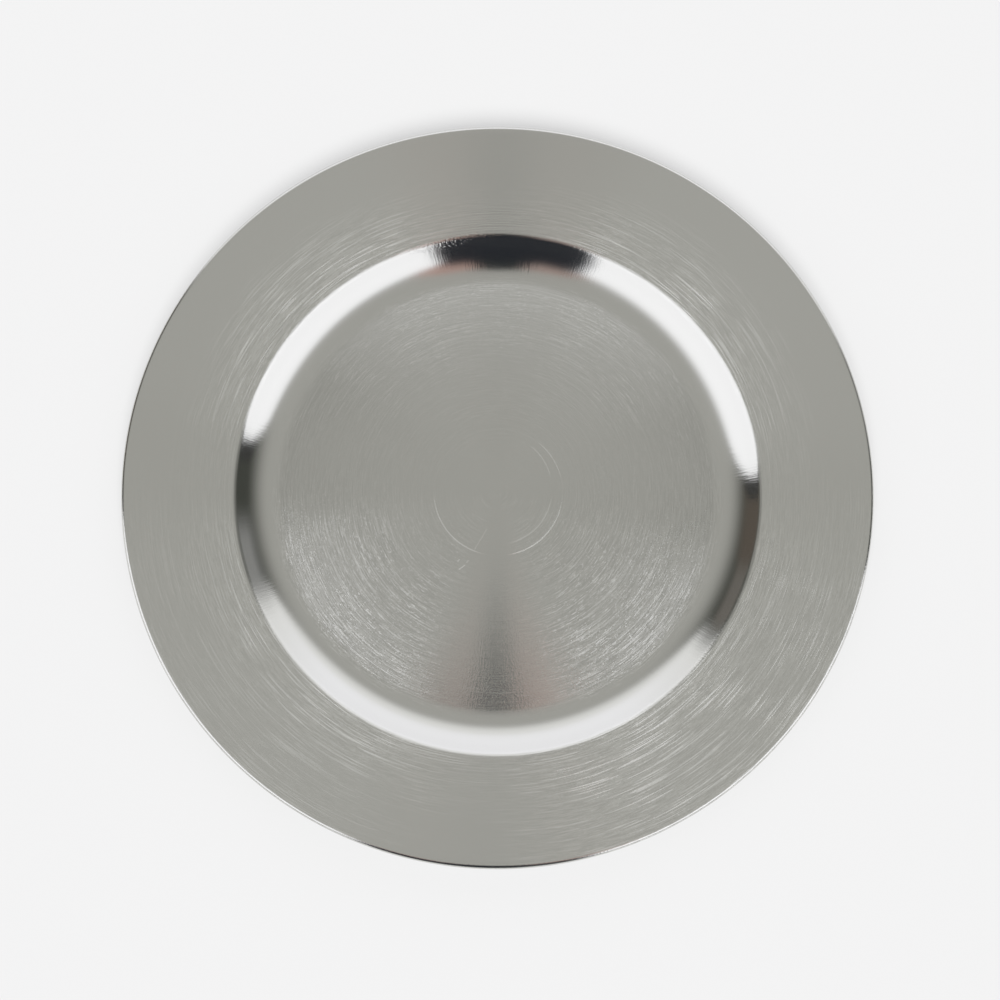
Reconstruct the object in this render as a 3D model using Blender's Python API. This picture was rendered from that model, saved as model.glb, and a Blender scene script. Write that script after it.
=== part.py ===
"""A round metal offering plate, 330 mm across, with a shallow well and a wide rim.

The dish is one spun sheet: a floor crowned upwards, a bend up into a short sloping wall,
a shoulder, a rim that rises gently outwards, and an edge curled under. A flat felt disc is stuck
under the floor by its border. The plate stands on the felt, at z = 0, and +Z is the axis of every
turned shape. Nothing moves.
"""

import math

import bmesh
import bpy
from mathutils import Vector

MM = 0.001

# Driving dimensions, in metres. Radii along the sheet are to the middle of its thickness.
PLATE_RADIUS = 165.0 * MM  # over the outside of the curled edge
SHEET = 0.9 * MM
FLOOR_RADIUS = 95.0 * MM
FLOOR_SLOPE = math.radians(6.5)  # at the floor's edge, which lies lower than its middle
SHOULDER_RADIUS = 117.0 * MM
WALL_ANGLE = math.radians(35.0)
RIM_ANGLE = math.radians(5.0)
FLOOR_BEND = 24.4 * MM
SHOULDER_BEND = 5.0 * MM
EDGE_BEND = 1.1 * MM
EDGE_TURN = math.radians(190.0)

FELT_RADIUS = 88.0 * MM
FELT_THICKNESS = 2.0 * MM
GAP = 0.3 * MM  # above the felt's border, for its adhesive, which is too thin to be a piece

# Fineness of the turned shapes.
TURNS = 72
FLOOR_STEPS = 6
FLOOR_BEND_STEPS = 7
SHOULDER_BEND_STEPS = 4
EDGE_STEPS = 8
SMOOTH_ANGLE = math.radians(30.0)
ON_AXIS = 1e-7


def clear_scene():
    for obj in list(bpy.data.objects):
        bpy.data.objects.remove(obj, do_unlink=True)


def material(name, colour, metallic, roughness):
    made = bpy.data.materials.new(name)
    made.use_nodes = True
    shader = made.node_tree.nodes["Principled BSDF"]
    shader.inputs["Base Color"].default_value = (*colour, 1.0)
    shader.inputs["Metallic"].default_value = metallic
    shader.inputs["Roughness"].default_value = roughness
    made.diffuse_color = (*colour, 1.0)
    return made


def turned(name, outline, surface):
    """An object made by turning a closed outline of (radius, height) points about +Z."""
    shape = bmesh.new()
    points = [shape.verts.new((radius, 0.0, height)) for radius, height in outline]
    edges = []
    for start, end in zip(points, points[1:] + points[:1]):
        both_on_axis = start.co.x < ON_AXIS and end.co.x < ON_AXIS
        if not both_on_axis:
            edges.append(shape.edges.new((start, end)))
    bmesh.ops.spin(
        shape,
        geom=points + edges,
        axis=(0.0, 0.0, 1.0),
        cent=(0.0, 0.0, 0.0),
        angle=2 * math.pi,
        steps=TURNS,
        use_merge=True,
    )
    bmesh.ops.remove_doubles(shape, verts=shape.verts, dist=ON_AXIS)
    bmesh.ops.recalc_face_normals(shape, faces=shape.faces)
    mesh = bpy.data.meshes.new(name)
    shape.to_mesh(mesh)
    shape.free()
    mesh.shade_smooth()
    mesh.set_sharp_from_angle(angle=SMOOTH_ANGLE)
    mesh.materials.append(surface)
    made = bpy.data.objects.new(name, mesh)
    bpy.context.scene.collection.objects.link(made)
    return made


class SheetLine:
    """The middle line of a bent sheet, drawn outwards from the axis by a pen that turns."""

    def __init__(self, height):
        self.at = Vector((0.0, height))
        self.heading = 0.0
        self.stations = [(self.at, self.side())]

    def side(self):
        """The unit vector to the left of the heading, which is up on a level sheet."""
        return Vector((-math.sin(self.heading), math.cos(self.heading)))

    def straight_to(self, radius):
        """Goes straight on until it is radius away from the axis."""
        run = radius - self.at.x
        self.at = self.at + Vector((run, run * math.tan(self.heading)))
        self.stations.append((self.at, self.side()))

    def bend(self, radius, turn, steps):
        """Bends by turn: upwards if it is positive, downwards if it is negative."""
        to_centre = math.copysign(radius, turn)
        centre = self.at + self.side() * to_centre
        for _ in range(steps):
            self.heading += turn / steps
            self.at = centre - self.side() * to_centre
            self.stations.append((self.at, self.side()))

    def outline(self, thickness):
        """The upper face from the axis outwards, then the lower face back to the axis."""
        half = thickness / 2
        upper = [tuple(at + side * half) for at, side in self.stations]
        lower = [tuple(at - side * half) for at, side in self.stations]
        return upper + lower[::-1]


def make_dish(surface):
    wall_end = SHOULDER_RADIUS - SHOULDER_BEND * (math.sin(WALL_ANGLE) - math.sin(RIM_ANGLE))
    edge_centre = PLATE_RADIUS - EDGE_BEND - SHEET / 2
    rim_end = edge_centre - EDGE_BEND * math.sin(RIM_ANGLE)

    crown = FLOOR_RADIUS / math.sin(FLOOR_SLOPE)
    fall_to_felt_border = crown - math.sqrt(crown**2 - FELT_RADIUS**2)

    line = SheetLine(FELT_THICKNESS + GAP + SHEET / 2 + fall_to_felt_border)
    line.bend(crown, -FLOOR_SLOPE, FLOOR_STEPS)
    line.bend(FLOOR_BEND, FLOOR_SLOPE + WALL_ANGLE, FLOOR_BEND_STEPS)
    line.straight_to(wall_end)
    line.bend(SHOULDER_BEND, RIM_ANGLE - WALL_ANGLE, SHOULDER_BEND_STEPS)
    line.straight_to(rim_end)
    line.bend(EDGE_BEND, -EDGE_TURN, EDGE_STEPS)
    turned("plate_dish", line.outline(SHEET), surface)


def make_felt(surface):
    top = FELT_THICKNESS
    outline = [(0.0, 0.0), (FELT_RADIUS, 0.0), (FELT_RADIUS, top), (0.0, top)]
    turned("base_felt", outline, surface)


def main():
    clear_scene()
    make_dish(material("brushed_silver", (0.72, 0.72, 0.69), 1.0, 0.28))
    make_felt(material("grey_felt", (0.10, 0.10, 0.105), 0.0, 0.95))


main()
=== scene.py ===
"""The looks of the offering plate: the brushed metal dish, its felt base and a plain pale studio."""

import math

import bmesh
import bpy
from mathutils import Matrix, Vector


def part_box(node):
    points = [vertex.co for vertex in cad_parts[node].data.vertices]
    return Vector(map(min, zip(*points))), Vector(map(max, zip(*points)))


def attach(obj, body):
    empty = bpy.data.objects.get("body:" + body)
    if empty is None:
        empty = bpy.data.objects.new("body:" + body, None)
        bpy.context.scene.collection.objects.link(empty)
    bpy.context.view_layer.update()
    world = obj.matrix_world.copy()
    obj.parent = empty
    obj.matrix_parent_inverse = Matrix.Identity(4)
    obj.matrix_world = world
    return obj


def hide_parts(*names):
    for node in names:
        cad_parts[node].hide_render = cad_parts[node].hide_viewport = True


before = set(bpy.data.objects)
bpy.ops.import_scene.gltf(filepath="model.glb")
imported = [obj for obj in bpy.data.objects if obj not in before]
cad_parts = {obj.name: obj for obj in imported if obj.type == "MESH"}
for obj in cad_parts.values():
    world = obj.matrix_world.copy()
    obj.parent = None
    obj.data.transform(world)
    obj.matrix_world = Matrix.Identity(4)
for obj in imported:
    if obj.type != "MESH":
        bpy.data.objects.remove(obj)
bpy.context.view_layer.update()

MM = 0.001
ROUNDING = 0.001 * MM

# The dish, from the frame and from the same driving dimensions as the CAD model.
_, dish_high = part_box("plate_dish")
felt_low, felt_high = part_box("base_felt")
PLATE_RADIUS = dish_high.x - ROUNDING
FELT_RADIUS = felt_high.x
SHEET = 0.9 * MM
FLOOR_RADIUS = 95.0 * MM
FLOOR_SLOPE = math.radians(6.5)
SHOULDER_RADIUS = 117.0 * MM
WALL_ANGLE = math.radians(35.0)
RIM_ANGLE = math.radians(5.0)
FLOOR_BEND = 24.4 * MM
SHOULDER_BEND = 5.0 * MM
EDGE_BEND = 1.1 * MM
EDGE_TURN = math.radians(190.0)
GAP = 0.3 * MM

TURNS = 288


# ---------------------------------------------------------------- mesh tools


def turned(name, outline):
    """A smooth-shaded object made by turning a closed outline of (radius, height) about +Z.

    The outline starts and ends on the axis, so its first and last points become single points.
    """
    shape = bmesh.new()
    rings = []
    for radius, height in outline:
        if radius < 1e-9:
            rings.append([shape.verts.new((0.0, 0.0, height))])
            continue
        angles = [2 * math.pi * turn / TURNS for turn in range(TURNS)]
        rings.append([
            shape.verts.new((radius * math.cos(a), radius * math.sin(a), height)) for a in angles
        ])
    for inner, outer in zip(rings, rings[1:]):
        for turn in range(TURNS):
            after = (turn + 1) % TURNS
            if len(inner) == 1:
                shape.faces.new((inner[0], outer[turn], outer[after]))
            elif len(outer) == 1:
                shape.faces.new((inner[turn], outer[0], inner[after]))
            else:
                shape.faces.new((inner[turn], outer[turn], outer[after], inner[after]))
    bmesh.ops.recalc_face_normals(shape, faces=shape.faces)
    mesh = bpy.data.meshes.new(name)
    shape.to_mesh(mesh)
    shape.free()
    mesh.shade_smooth()
    made = bpy.data.objects.new(name, mesh)
    bpy.context.scene.collection.objects.link(made)
    return made


class SheetLine:
    """The middle line of a bent sheet, drawn outwards from the axis by a pen that turns."""

    def __init__(self, height):
        self.at = Vector((0.0, height))
        self.heading = 0.0
        self.stations = [(self.at, self.side())]

    def side(self):
        return Vector((-math.sin(self.heading), math.cos(self.heading)))

    def straight_to(self, radius, steps):
        run = (radius - self.at.x) / steps
        for _ in range(steps):
            self.at = self.at + Vector((run, run * math.tan(self.heading)))
            self.stations.append((self.at, self.side()))

    def bend(self, radius, turn, steps):
        to_centre = math.copysign(radius, turn)
        centre = self.at + self.side() * to_centre
        for _ in range(steps):
            self.heading += turn / steps
            self.at = centre - self.side() * to_centre
            self.stations.append((self.at, self.side()))


# ---------------------------------------------------------------- node tools


class Graph:
    """A short way to write a shader's nodes as expressions. A value is a number or a socket."""

    def __init__(self, tree):
        self.tree = tree

    def node(self, kind, inputs=(), **settings):
        made = self.tree.nodes.new(kind)
        for key, value in settings.items():
            setattr(made, key, value)
        for key, value in dict(inputs).items():
            self.put(value, made.inputs[key])
        return made

    def put(self, value, socket):
        if isinstance(value, bpy.types.NodeSocket):
            self.tree.links.new(value, socket)
        else:
            socket.default_value = value

    def math(self, operation, *values):
        return self.node("ShaderNodeMath", enumerate(values), operation=operation).outputs[0]

    def add(self, a, b):
        return self.math("ADD", a, b)

    def times(self, a, b):
        return self.math("MULTIPLY", a, b)

    def ramp(self, value, low, high, start=0.0, end=1.0, curve="SMOOTHSTEP"):
        """start where value is low, end where it is high, and a smooth step between."""
        inputs = {"Value": value, "From Min": low, "From Max": high, "To Min": start, "To Max": end}
        return self.node("ShaderNodeMapRange", inputs, interpolation_type=curve).outputs[0]

    def band(self, value, low, high, soft):
        """1 between low and high, 0 outside, with soft edges."""
        rise = self.ramp(value, low - soft, low + soft)
        return self.times(rise, self.ramp(value, high - soft, high + soft, 1.0, 0.0))

    def total(self, first, *others):
        for other in others:
            first = self.add(first, other)
        return first

    def product(self, first, *others):
        for other in others:
            first = self.times(first, other)
        return first

    def away_from(self, x, y, centre=(0.0, 0.0)):
        """How far a point is from a centre in the plane, and the two sides of that distance."""
        from_x = self.add(x, -centre[0])
        from_y = self.add(y, -centre[1])
        distance = self.math("SQRT", self.add(self.times(from_x, from_x), self.times(from_y, from_y)))
        return distance, from_x, from_y

    def along(self, x, y, angle):
        """How far (x, y) reaches in the direction of an angle."""
        return self.add(self.times(x, math.cos(angle)), self.times(y, math.sin(angle)))

    def mix(self, factor, a, b):
        made = self.node("ShaderNodeMix", data_type="RGBA")
        self.put(factor, made.inputs[0])
        self.put(a, made.inputs[6])
        self.put(b, made.inputs[7])
        return made.outputs[2]

    def vector(self, x, y, z):
        return self.node("ShaderNodeCombineXYZ", {"X": x, "Y": y, "Z": z}).outputs[0]

    def noise(self, vector, scale, detail=2.0, roughness=0.5):
        inputs = {"Vector": vector, "Scale": scale, "Detail": detail, "Roughness": roughness}
        return self.node("ShaderNodeTexNoise", inputs).outputs[0]


def new_material(name):
    made = bpy.data.materials.new(name)
    made.use_nodes = True
    graph = Graph(made.node_tree)
    return made, graph, made.node_tree.nodes["Principled BSDF"]


def grey(level, red=1.0, blue=1.0):
    return (level * red, level, level * blue, 1.0)


# ---------------------------------------------------------------- the dish


def dish_outline():
    wall_end = SHOULDER_RADIUS - SHOULDER_BEND * (math.sin(WALL_ANGLE) - math.sin(RIM_ANGLE))
    rim_end = PLATE_RADIUS - SHEET / 2 - EDGE_BEND * (1 + math.sin(RIM_ANGLE))
    crown = FLOOR_RADIUS / math.sin(FLOOR_SLOPE)
    fall_to_felt_border = crown - math.sqrt(crown**2 - FELT_RADIUS**2)
    line = SheetLine(felt_high.z + GAP + SHEET / 2 + fall_to_felt_border)
    line.bend(crown, -FLOOR_SLOPE, 40)
    line.bend(FLOOR_BEND, FLOOR_SLOPE + WALL_ANGLE, 28)
    line.straight_to(wall_end, 4)
    line.bend(SHOULDER_BEND, RIM_ANGLE - WALL_ANGLE, 14)
    line.straight_to(rim_end, 24)
    line.bend(EDGE_BEND, -EDGE_TURN, 22)
    upper = [tuple(at + side * SHEET / 2) for at, side in line.stations]
    lower = [tuple(at - side * SHEET / 2) for at, side in line.stations]
    # The curve is finer than the CAD mesh, so it is lowered by the few microns it would stand above it.
    settle = min(0.0, dish_high.z - max(height for _, height in upper))
    return [(radius, height + settle) for radius, height in upper + lower[::-1]]


MARK_CORE = 0.10 * MM
MARK_EDGE = 0.40 * MM

# Degrees over which an arc fades in at each end.
ARC_FADE = 12.0


def ring_mark(g, x, y, centre, size, arcs):
    """A hair-thin ring, from 0 to 1, that shows only over some arcs. All are in millimetres and degrees.

    Each arc is the direction of its middle, its half width and its strength.
    """
    reach, from_x, from_y = g.away_from(x, y, (centre[0] * MM, centre[1] * MM))
    line = g.ramp(g.math("ABSOLUTE", g.add(reach, -size * MM)), MARK_CORE, MARK_EDGE, 1.0, 0.0)
    shown = 0.0
    for middle, half, strength in arcs:
        towards = g.math("DIVIDE", g.along(from_x, from_y, math.radians(middle)), reach)
        outside = math.cos(math.radians(half + ARC_FADE))
        inside = math.cos(math.radians(half))
        shown = g.math("MAXIMUM", shown, g.ramp(towards, outside, inside, 0.0, strength))
    return g.times(line, shown)


def scratch_mark(g, x, y, start, end, strength):
    """A short straight scratch, from 0 to its strength. Its ends are in millimetres."""
    start, end = Vector(start) * MM, Vector(end) * MM
    run = end - start
    way = math.atan2(run.y, run.x)
    _, from_x, from_y = g.away_from(x, y, (start + end) / 2)
    along = g.math("ABSOLUTE", g.along(from_x, from_y, way))
    across = g.math("ABSOLUTE", g.along(from_x, from_y, way + math.pi / 2))
    line = g.ramp(across, MARK_CORE, MARK_EDGE, 1.0, 0.0)
    return g.times(line, g.ramp(along, run.length * 0.42, run.length * 0.5, strength, 0.0))


def wear_marks(g, x, y):
    """Two rings left in the well by something round, one at the shoulder, and a few single scratches."""
    outer_arcs = ((220, 28, 0.6), (318, 30, 0.9), (32, 10, 0.45), (90, 170, 0.04))
    inner_arcs = ((318, 25, 0.45), (32, 10, 0.35))
    return g.total(
        ring_mark(g, x, y, (0.3, 0.2), 28.3, outer_arcs),
        ring_mark(g, x, y, (-0.7, 1.3), 24.7, inner_arcs),
        ring_mark(g, x, y, (0.0, 0.0), 118.6, ((324, 12, 0.7),)),
        scratch_mark(g, x, y, (-10.6, -26.3), (-4.4, -15.9), 0.3),
        scratch_mark(g, x, y, (-17.1, -34.4), (-14.2, -32.2), 0.6),
        scratch_mark(g, x, y, (-17.6, -30.9), (-16.6, -29.7), 0.5),
        scratch_mark(g, x, y, (-13.6, -31.3), (-12.6, -30.1), 0.5),
    )


# The two ends of the dish's base colour: toward the bright end it paints highlights on the strokes and
# marks, toward the dull end it paints shade between them.
DULL_SILVER = (0.60, 0.60, 0.575, 1.0)
HIGHLIGHT_SILVER = (0.95, 0.95, 0.92, 1.0)

# How deep each kind of unevenness is.
FINE_DEPTH = 0.018 * MM
PIT_DEPTH = 0.016 * MM
TURNING_DEPTH = 0.090 * MM
DENT_DEPTH = 0.022 * MM
RIPPLE_DEPTH = 0.008 * MM


class DishPlace:
    """Where a point of the dish is, as values that its material uses."""

    def __init__(self, g):
        self.point = g.node("ShaderNodeTexCoord").outputs["Object"]
        self.x, self.y, _ = g.node("ShaderNodeSeparateXYZ", {0: self.point}).outputs
        self.radius, _, _ = g.away_from(self.x, self.y)
        at_least = g.math("MAXIMUM", self.radius, 1e-6)
        self.outward_x = g.math("DIVIDE", self.x, at_least)
        self.outward_y = g.math("DIVIDE", self.y, at_least)
        self.on_floor = self.fading(g, FLOOR_RADIUS - 1.0 * MM, FLOOR_RADIUS + 7.0 * MM)
        self.on_rim = g.ramp(self.radius, SHOULDER_RADIUS - 3.5 * MM, SHOULDER_RADIUS + 0.5 * MM)

    def fading(self, g, low, high):
        """1 nearer to the axis than low, and 0 farther out than high."""
        return g.ramp(self.radius, low, high, 1.0, 0.0)

    def grain(self, g, length, width, detail=0.0):
        """Noise drawn out round the axis. Its length and width are in metres."""
        along = (g.times(self.x, 1 / length), g.times(self.y, 1 / length))
        return g.noise(g.vector(*along, g.times(self.radius, 1 / width)), 1.0, detail)


def brush_and_highlight_strength(g, place):
    """How strongly the brushing shows: it deepens the relief, and in the base colour it sets painted
    highlights where the strokes catch the light. Least in the middle and at the back, most at the front
    left and right.
    """
    sideways = g.math("ABSOLUTE", place.outward_x)
    forward = g.times(place.outward_y, -1.0)
    front = g.times(g.ramp(forward, -0.25, 0.55), g.ramp(sideways, 0.12, 0.60, 0.10, 1.0))
    front_right = g.ramp(g.add(g.times(place.outward_x, 0.7), g.times(forward, 0.7)), 0.6, 0.95)
    growing = g.ramp(place.radius, 20 * MM, 92 * MM, 0.15, 1.0, "LINEAR")
    floor_base = g.ramp(place.outward_y, -1.0, -0.85, 0.15, 0.30)
    floor_brushing_and_highlight = g.times(growing, g.add(floor_base, g.times(front, 0.85)))

    diagonal = g.times(g.math("ABSOLUTE", g.times(place.outward_x, place.outward_y)), 2.0)
    near_shoulder = place.fading(g, SHOULDER_RADIUS + 1 * MM, SHOULDER_RADIUS + 34 * MM)
    by_shoulder = g.product(
        near_shoulder, g.add(0.10, g.times(diagonal, 0.85)), g.add(1.0, g.times(front, -0.45))
    )
    rim_brushing_and_highlight = g.total(by_shoulder, g.times(front, 0.30), g.times(front_right, 0.50))

    patches = g.ramp(g.noise(place.point, 38.0, 1.0), 0.38, 0.60, 0.6, 1.0)
    return g.times(patches, g.add(g.times(place.on_floor, floor_brushing_and_highlight), g.times(place.on_rim, rim_brushing_and_highlight)))


def brush_strokes(g, place):
    """Short strokes broken into dashes, long loose ones, and glints, together from 0 to 1."""
    broken = g.ramp(place.grain(g, 2.0 * MM, 0.70 * MM), 0.45, 0.55, 0.1, 1.0)
    short = g.times(broken, g.ramp(place.grain(g, 8.0 * MM, 0.50 * MM), 0.60, 0.70))
    long = g.ramp(place.grain(g, 26.0 * MM, 0.48 * MM), 0.61, 0.70)
    glints = g.ramp(place.grain(g, 0.9 * MM, 0.60 * MM), 0.70, 0.76)
    strokes = g.total(
        g.times(short, g.add(1.0, g.times(place.on_rim, -0.7))),
        g.times(long, g.add(0.5, g.times(place.on_rim, 0.6))),
        g.times(glints, g.add(1.0, g.times(place.on_rim, -0.6))),
    )
    return g.math("MINIMUM", strokes, 1.0)


def dish_relief(g, place, bite_and_highlight, fine, pits):
    """The height of the brushing, the turning lines by the shoulder, the wall's dents and soft ripples."""
    beside_shoulder = place.fading(g, SHOULDER_RADIUS + 1 * MM, SHOULDER_RADIUS + 20 * MM)
    turning_lines = g.product(place.grain(g, 60.0 * MM, 0.75 * MM, 1.0), beside_shoulder, place.on_rim)
    on_wall = g.band(place.radius, SHOULDER_RADIUS - 4 * MM, SHOULDER_RADIUS + 0.5 * MM, 1.0 * MM)
    towards_scuff = g.add(g.times(place.outward_x, -0.17), g.times(place.outward_y, 0.985))
    scuffed = g.add(0.12, g.ramp(towards_scuff, 0.975, 0.995))
    dents = g.ramp(g.noise(g.vector(place.x, g.times(place.y, 2.2), 0.0), 760.0, 1.0), 0.50, 0.75)
    round_the_axis = (g.times(place.outward_x, 150.0), g.times(place.outward_y, 150.0))
    ripples = g.noise(g.vector(*round_the_axis, g.times(place.radius, 120.0)), 1.0)
    return g.total(
        g.product(fine, g.add(0.06, bite_and_highlight), FINE_DEPTH),
        g.product(pits, g.add(0.1, bite_and_highlight), PIT_DEPTH),
        g.times(turning_lines, TURNING_DEPTH),
        g.product(dents, on_wall, scuffed, DENT_DEPTH),
        g.times(ripples, RIPPLE_DEPTH),
    )


def dish_roughness(g, place, cuts_and_glints):
    """Smoothest in the middle, rougher outwards, along the brush strokes and wear marks and on the
    unpolished underside.
    """
    middle = g.ramp(place.radius, 4 * MM, 45 * MM, 0.085, 0.127, "LINEAR")
    towards_edge = g.ramp(place.radius, 45 * MM, 92 * MM, 0.0, 0.038, "LINEAR")
    off_the_wall = g.add(place.on_floor, g.times(place.on_rim, 0.6))
    normal = g.node("ShaderNodeTexCoord").outputs["Normal"]
    facing_up = g.node("ShaderNodeSeparateXYZ", {0: normal}).outputs[2]
    underneath = g.ramp(facing_up, -0.2, 0.0, 0.15, 0.0)
    return g.total(middle, g.times(towards_edge, off_the_wall), underneath, g.times(cuts_and_glints, 0.18))


def dish_tone_and_painted_highlights(g, place, bite_and_highlight, fine, pits, cuts_and_glints):
    """From 0, dull, to 1, bright, for the base colour. It paints highlights on the brush strokes, glints,
    wear marks, fine lines and pits where the brushing catches the light, and paints shade that dims the
    metal between them. It is a little brighter on the rim.
    """
    # Painted shade: the base colour is dimmed where the brushing shows.
    painted_shade_between_cuts = g.add(-0.10, g.times(place.on_floor, -0.21))
    return g.total(
        0.27,
        g.product(fine, bite_and_highlight, 0.38),
        g.times(cuts_and_glints, 0.56),
        g.times(place.on_rim, 0.05),
        g.product(pits, bite_and_highlight, 0.15),
        g.times(bite_and_highlight, painted_shade_between_cuts),
    )


def brushed_silver():
    made, g, shader = new_material("brushed_silver")
    place = DishPlace(g)
    bite_and_highlight = brush_and_highlight_strength(g, place)
    fine = g.ramp(place.grain(g, 7.0 * MM, 0.46 * MM, 1.0), 0.34, 0.66)
    pits = g.ramp(g.noise(place.point, 1300.0, 1.0), 0.35, 0.75)
    # The strokes and wear marks roughen the metal, and the base colour also paints them as highlights.
    cuts_and_glints = g.add(g.times(brush_strokes(g, place), bite_and_highlight), wear_marks(g, place.x, place.y))

    relief = dish_relief(g, place, bite_and_highlight, fine, pits)
    bump = g.node("ShaderNodeBump", {"Strength": 1.0, "Distance": 1.0, "Height": relief})
    # Base colour with painted highlights on the strokes and marks, and painted shade between them.
    colour = g.mix(dish_tone_and_painted_highlights(g, place, bite_and_highlight, fine, pits, cuts_and_glints), DULL_SILVER, HIGHLIGHT_SILVER)
    g.put(bump.outputs[0], shader.inputs["Normal"])
    g.put(dish_roughness(g, place, cuts_and_glints), shader.inputs["Roughness"])
    g.put(colour, shader.inputs["Base Color"])
    g.put(g.vector(place.outward_x, place.outward_y, 0.0), shader.inputs["Tangent"])
    shader.inputs["Metallic"].default_value = 1.0
    shader.inputs["Anisotropic"].default_value = 1.0
    return made


def make_dish():
    dish = turned("dish_shell", dish_outline())
    dish.data.materials.append(brushed_silver())
    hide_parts("plate_dish")
    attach(dish, "root")


# ---------------------------------------------------------------- the felt


FELT_DARK = (0.05, 0.05, 0.053, 1.0)
FELT_LIGHT = (0.17, 0.17, 0.175, 1.0)
FELT_CORNER = 0.25 * MM


def wool_felt():
    made, g, shader = new_material("wool_felt")
    place = g.node("ShaderNodeTexCoord").outputs["Object"]
    fibres = g.noise(place, 900.0, 4.0, 0.7)
    tufts = g.noise(place, 160.0, 3.0, 0.6)
    g.put(g.mix(fibres, FELT_DARK, FELT_LIGHT), shader.inputs["Base Color"])
    bump = g.node("ShaderNodeBump", {"Strength": 0.8, "Distance": 0.3 * MM, "Height": g.add(fibres, tufts)})
    g.put(bump.outputs[0], shader.inputs["Normal"])
    shader.inputs["Roughness"].default_value = 0.95
    shader.inputs["Sheen Weight"].default_value = 0.4
    return made


def make_felt():
    low, high = felt_low.z, felt_high.z
    inner_radii = [FELT_RADIUS * step / 20 for step in range(20)]
    outline = [(radius, low) for radius in inner_radii]
    outline += [(FELT_RADIUS - FELT_CORNER, low), (FELT_RADIUS, low + FELT_CORNER)]
    outline += [(FELT_RADIUS, high - FELT_CORNER), (FELT_RADIUS - FELT_CORNER, high)]
    outline += [(radius, high) for radius in reversed(inner_radii)]
    felt = turned("felt_disc", outline)
    felt.data.materials.append(wool_felt())
    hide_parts("base_felt")
    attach(felt, "root")


# ---------------------------------------------------------------- the studio


GROUND_HALF_SIDE = 12.0
GROUND_GLOW = 0.550


def make_ground():
    side, low = GROUND_HALF_SIDE, felt_low.z - 0.1 * MM
    mesh = bpy.data.meshes.new("ground")
    corners = [(-side, -side, low), (side, -side, low), (side, side, low), (-side, side, low)]
    mesh.from_pydata(corners, [], [(0, 1, 2, 3)])
    ground = bpy.data.objects.new("ground", mesh)
    bpy.context.scene.collection.objects.link(ground)
    made, _, shader = new_material("pale_ground")
    shader.inputs["Base Color"].default_value = grey(0.15)
    shader.inputs["Emission Color"].default_value = grey(1.0)
    shader.inputs["Emission Strength"].default_value = GROUND_GLOW
    shader.inputs["Roughness"].default_value = 1.0
    shader.inputs["Specular IOR Level"].default_value = 0.0
    mesh.materials.append(made)


# What stands round the plate, from back to front. Each card is the azimuth of its middle, its half
# width, how soft its sides are, how far from overhead its top is and how soft, how much lower its
# top's corners are, all in degrees, and its colour.
OVERHEAD = grey(0.452, 1.006, 0.95)
ROOM = (0.055, 0.058, 0.050, 1.0)
HORIZON = (0.28, 0.28, 0.27, 1.0)
PLAIN_WHITE = grey(0.9)
CARDS = [
    (148, 9, 3, 62, 8, 0, (0.19, 0.175, 0.16, 1.0)),
    (164, 11, 3, 52, 14, 6, (0.115, 0.095, 0.078, 1.0)),
    (28, 11, 5, 60, 18, 0, grey(0.37)),
    (85, 51, 5, 32, 7, 18, grey(0.97)),
    (85, 40, 14, 48.5, 3.5, 0, grey(1.15, 1.0, 1.05)),
    (285, 13, 4, 8, 7, 0, (0.53, 0.36, 0.32, 1.0)),
    (251, 12, 4, 8, 7, 0, (0.45, 0.34, 0.31, 1.0)),
    (210, 37.5, 2.5, 25, 9, 4.5, grey(1.30, 1.0, 1.04)),
    (322, 36.5, 2.5, 26, 5, 8, grey(1.30, 1.0, 1.04)),
    (170.5, 2.5, 1, 50, 8, 10, grey(0.04)),
    (1, 2.5, 1, 50, 8, 10, grey(0.04)),
    (268.5, 10.5, 2.5, 3, 6, 0, (0.012, 0.018, 0.021, 1.0)),
    (265.5, 22.0, 3, 23, 10, 0, (0.022, 0.025, 0.032, 1.0)),
]


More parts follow.
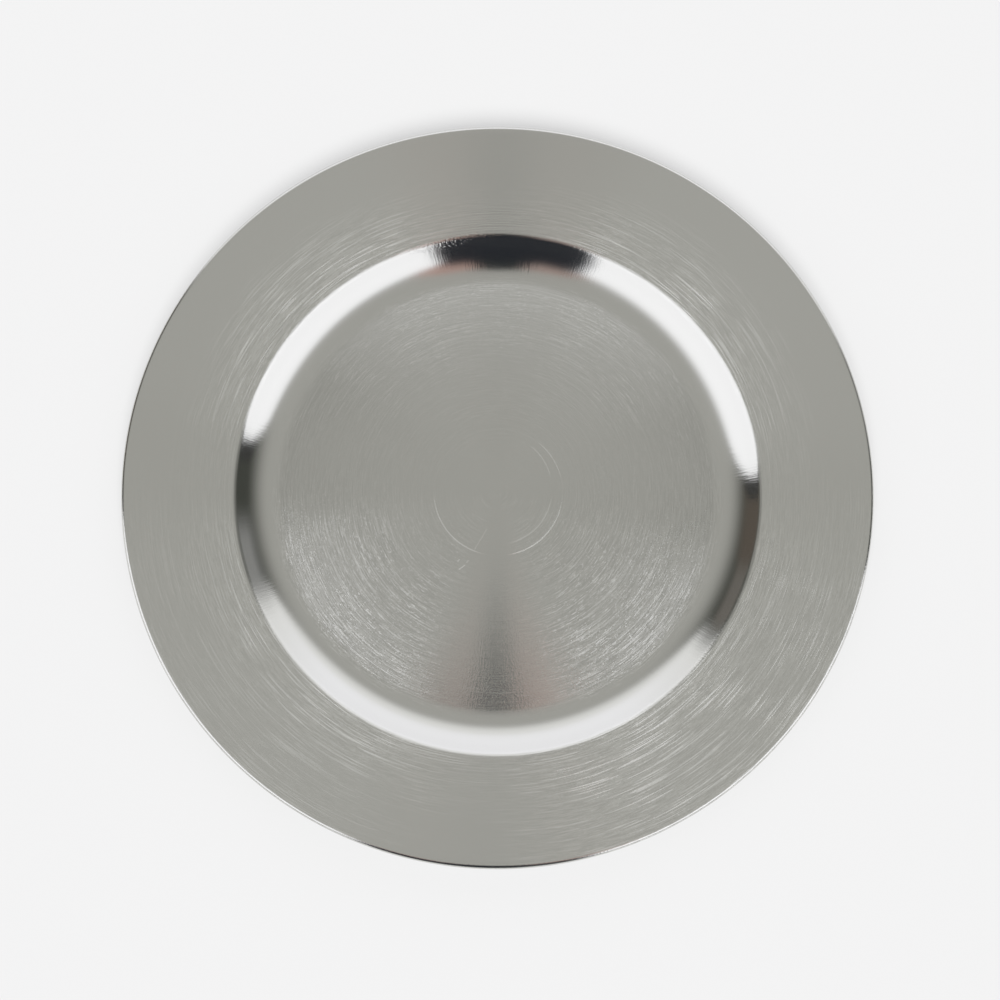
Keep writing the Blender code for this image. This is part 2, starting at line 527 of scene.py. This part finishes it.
def make_surroundings():
    world = bpy.data.worlds.new("studio")
    bpy.context.scene.world = world
    world.use_nodes = True
    g = Graph(world.node_tree)
    sky = world.node_tree.nodes["Background"]
    way = g.node("ShaderNodeTexCoord").outputs["Generated"]
    x, y, z = g.node("ShaderNodeSeparateXYZ", {0: way}).outputs
    level = g.math("SQRT", g.math("MAXIMUM", g.add(g.times(x, x), g.times(y, y)), 1e-8))
    from_overhead = g.times(g.math("ARCCOSINE", z), 180 / math.pi)
    colour = g.mix(g.ramp(from_overhead, 16, 60), OVERHEAD, ROOM)
    for azimuth, half_width, side_soft, top, top_soft, corners, shade in CARDS:
        towards = g.math("DIVIDE", g.along(x, y, math.radians(azimuth)), level)
        aside = g.times(g.math("ARCCOSINE", g.math("MINIMUM", towards, 1.0)), 180 / math.pi)
        drop = g.times(g.math("POWER", g.times(aside, 1 / half_width), 4.0), corners)
        inside = g.times(
            g.ramp(aside, half_width - side_soft, half_width + side_soft, 1.0, 0.0),
            g.ramp(g.math("SUBTRACT", from_overhead, drop), top - top_soft, top + top_soft),
        )
        colour = g.mix(inside, colour, shade)
    # Below what the metal mirrors to the camera, the surroundings fade to a plain grey.
    horizon_start = g.add(74.0, g.times(g.math("DIVIDE", y, level), 8.0))
    below = g.ramp(g.math("SUBTRACT", from_overhead, horizon_start), 0.0, 8.0)
    colour = g.mix(below, colour, HORIZON)
    seen = g.node("ShaderNodeLightPath").outputs["Is Camera Ray"]
    g.put(g.mix(seen, colour, PLAIN_WHITE), sky.inputs["Color"])


SUN_STRENGTH = 6.0
SUN_SPREAD = math.radians(36.0)
SUN_TILT = math.radians(31.0)


def make_sun():
    """A broad soft light from the front that the metal doesn't mirror."""
    data = bpy.data.lights.new("soft_front", "SUN")
    data.energy = SUN_STRENGTH
    data.angle = SUN_SPREAD
    sun = bpy.data.objects.new("soft_front", data)
    sun.rotation_euler = (SUN_TILT, 0.0, 0.0)
    sun.visible_glossy = False
    bpy.context.scene.collection.objects.link(sun)


CAMERA_DISTANCE = 1.30
CAMERA_TILT = math.radians(9.3)
CAMERA_AIM = Vector((1.1 * MM, -4.2 * MM, 12.0 * MM))
FRAME_WIDTH = 0.4384


def make_camera():
    """Almost overhead. FRAME_WIDTH is how many metres the frame spans where the camera aims."""
    data = bpy.data.cameras.new("camera")
    data.sensor_width = 36.0
    data.lens = data.sensor_width * CAMERA_DISTANCE / FRAME_WIDTH
    camera = bpy.data.objects.new("camera", data)
    towards_camera = Vector((0.0, -math.sin(CAMERA_TILT), math.cos(CAMERA_TILT)))
    camera.location = CAMERA_AIM + towards_camera * CAMERA_DISTANCE
    camera.rotation_euler = (CAMERA_TILT, 0.0, 0.0)
    bpy.context.scene.collection.objects.link(camera)
    bpy.context.scene.camera = camera


make_camera()
make_dish()
make_felt()
make_ground()
make_surroundings()
make_sun()
bpy.context.scene.view_settings.view_transform = "Standard"
